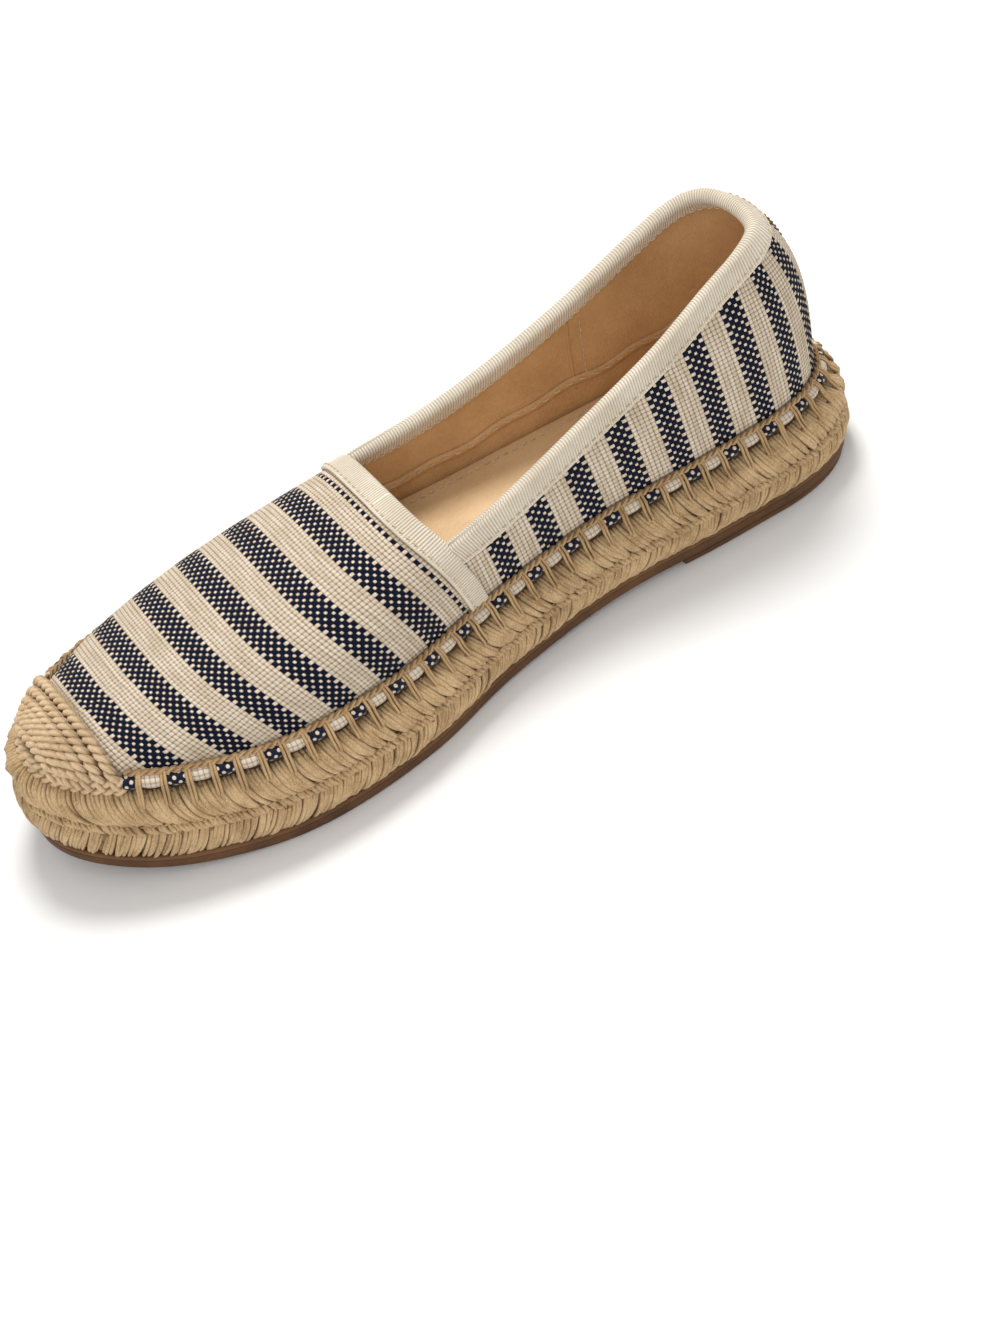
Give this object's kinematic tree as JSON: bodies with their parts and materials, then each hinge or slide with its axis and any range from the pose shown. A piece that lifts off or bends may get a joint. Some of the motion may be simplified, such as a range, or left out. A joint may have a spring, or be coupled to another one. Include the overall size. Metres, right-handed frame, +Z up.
{
  "type": "espadrille",
  "caption": "Right slip-on espadrille: striped canvas upper with ribbon bindings and a crocheted toe cap, stitched to a braided jute sole over a thin rubber outsole with a low heel lift",
  "frame": {"origin": "middle of the shoe's box on the floor, in the plane of the heel lift's and the forefoot's underside", "axes": "+X from heel to toe, +Y to the inner side of the foot, +Z up"},
  "size_m": [0.262, 0.088, 0.0869],
  "materials": {
    "outsole_rubber": "matte brown rubber",
    "jute": "braided and crocheted jute yarn",
    "insole_leather": "smooth tan leather",
    "canvas": "coarse plain-weave canvas with navy stripes",
    "ribbon": "ribbed grosgrain ribbon"
  },
  "bodies": {
    "root": {"outsole": "outsole_rubber", "heel_lift": "outsole_rubber", "lower_course": "jute", "upper_course": "jute", "insole": "insole_leather", "upper": "canvas", "hem": "canvas", "toe_cap": "jute", "throat_binding": "ribbon", "collar_binding": "ribbon", "side_tape_inner": "ribbon", "side_tape_outer": "ribbon"}
  },
  "joints": []
}
